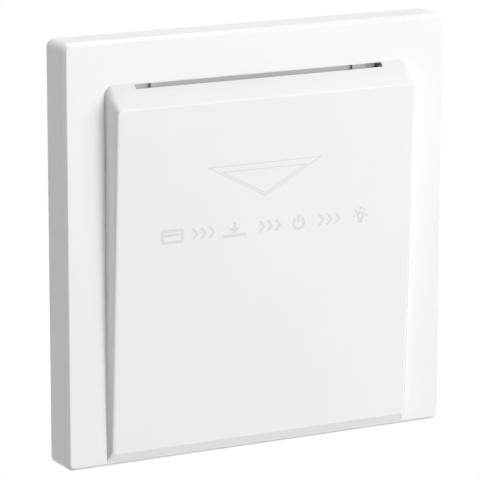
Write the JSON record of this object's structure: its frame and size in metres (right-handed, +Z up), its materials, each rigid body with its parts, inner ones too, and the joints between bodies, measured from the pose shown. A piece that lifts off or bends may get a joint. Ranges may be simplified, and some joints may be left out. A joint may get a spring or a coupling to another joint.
{
  "type": "hotel key card switch",
  "caption": "Square wall plate with a raised sloping panel and a card slot along its top; a card pushes a sprung carriage that closes a double-pole switch behind.",
  "frame": {"origin": "middle of the fixing-hole pattern, in the wall plane behind the cover and the frame", "axes": "+Z up the wall, -Y out of the wall towards the user, +X to the right seen from the front"},
  "size_m": [0.086, 0.0393, 0.086],
  "materials": {
    "cover_abs": "white moulded ABS, satin gloss",
    "guide_abs": "mid-grey moulded ABS, satin",
    "frame_steel": "zinc-plated pressed sheet steel",
    "screw_steel": "zinc-plated turned steel",
    "mechanism_nylon": "natural moulded nylon",
    "housing_nylon": "pale grey moulded nylon, fine spark texture",
    "spring_steel": "drawn spring wire",
    "arm_bronze": "stamped phosphor bronze strip",
    "contact_silver": "headed silver alloy",
    "terminal_brass": "machined brass"
  },
  "bodies": {
    "base": {"card_guide": "guide_abs", "cover_sockets": "guide_abs", "mounting_frame": "frame_steel", "guide_screws": "screw_steel", "lid_screws": "screw_steel", "terminal_screws": "screw_steel", "earth_screw": "screw_steel", "pivot_pins": "screw_steel", "chamber_lid": "mechanism_nylon", "switch_housing": "housing_nylon", "carriage_spring_left": "spring_steel", "carriage_spring_right": "spring_steel", "contact_spring_line": "spring_steel", "contact_spring_neutral": "spring_steel", "fixed_contacts": "contact_silver", "line_in_terminal": "terminal_brass", "line_out_terminal": "terminal_brass", "neutral_in_terminal": "terminal_brass", "neutral_out_terminal": "terminal_brass", "earth_terminal": "terminal_brass"},
    "cover": {"front_cover": "cover_abs"},
    "carriage": {"card_rest": "guide_abs", "cam_slide": "mechanism_nylon", "cam_screw": "screw_steel"},
    "plunger": {"plunger": "mechanism_nylon"},
    "contact_arms": {"contact_arm_line": "arm_bronze", "contact_arm_neutral": "arm_bronze", "moving_contacts": "contact_silver"}
  },
  "joints": [
    {"name": "card_press", "type": "slide", "parent": "base", "child": "carriage", "axis": [0, 0, -1], "range_m": [0, 0.005], "stiffness_N_per_m": 150, "springref_m": -0.005, "deforming": ["carriage_spring_left", "carriage_spring_right"]},
    {"name": "plunger_push", "type": "slide", "parent": "base", "child": "plunger", "axis": [0, 1, 0], "range_m": [0, 0.0014]},
    {"name": "arm_swing", "type": "hinge", "parent": "base", "child": "contact_arms", "pos_m": [0, 0.01518, 0.009], "axis": [1, 0, 0], "range_deg": [0, 9.8], "deforming": ["contact_spring_line", "contact_spring_neutral"]},
    {"name": "cover_release", "type": "slide", "parent": "base", "child": "cover", "axis": [0, -1, 0], "range_m": [0, 0.03]}
  ],
  "couplings": [
    {"joint": "plunger_push", "follows": "card_press", "ratio": 0.27},
    {"joint": "arm_swing", "follows": "card_press", "rad_per_m": 33.75}
  ]
}
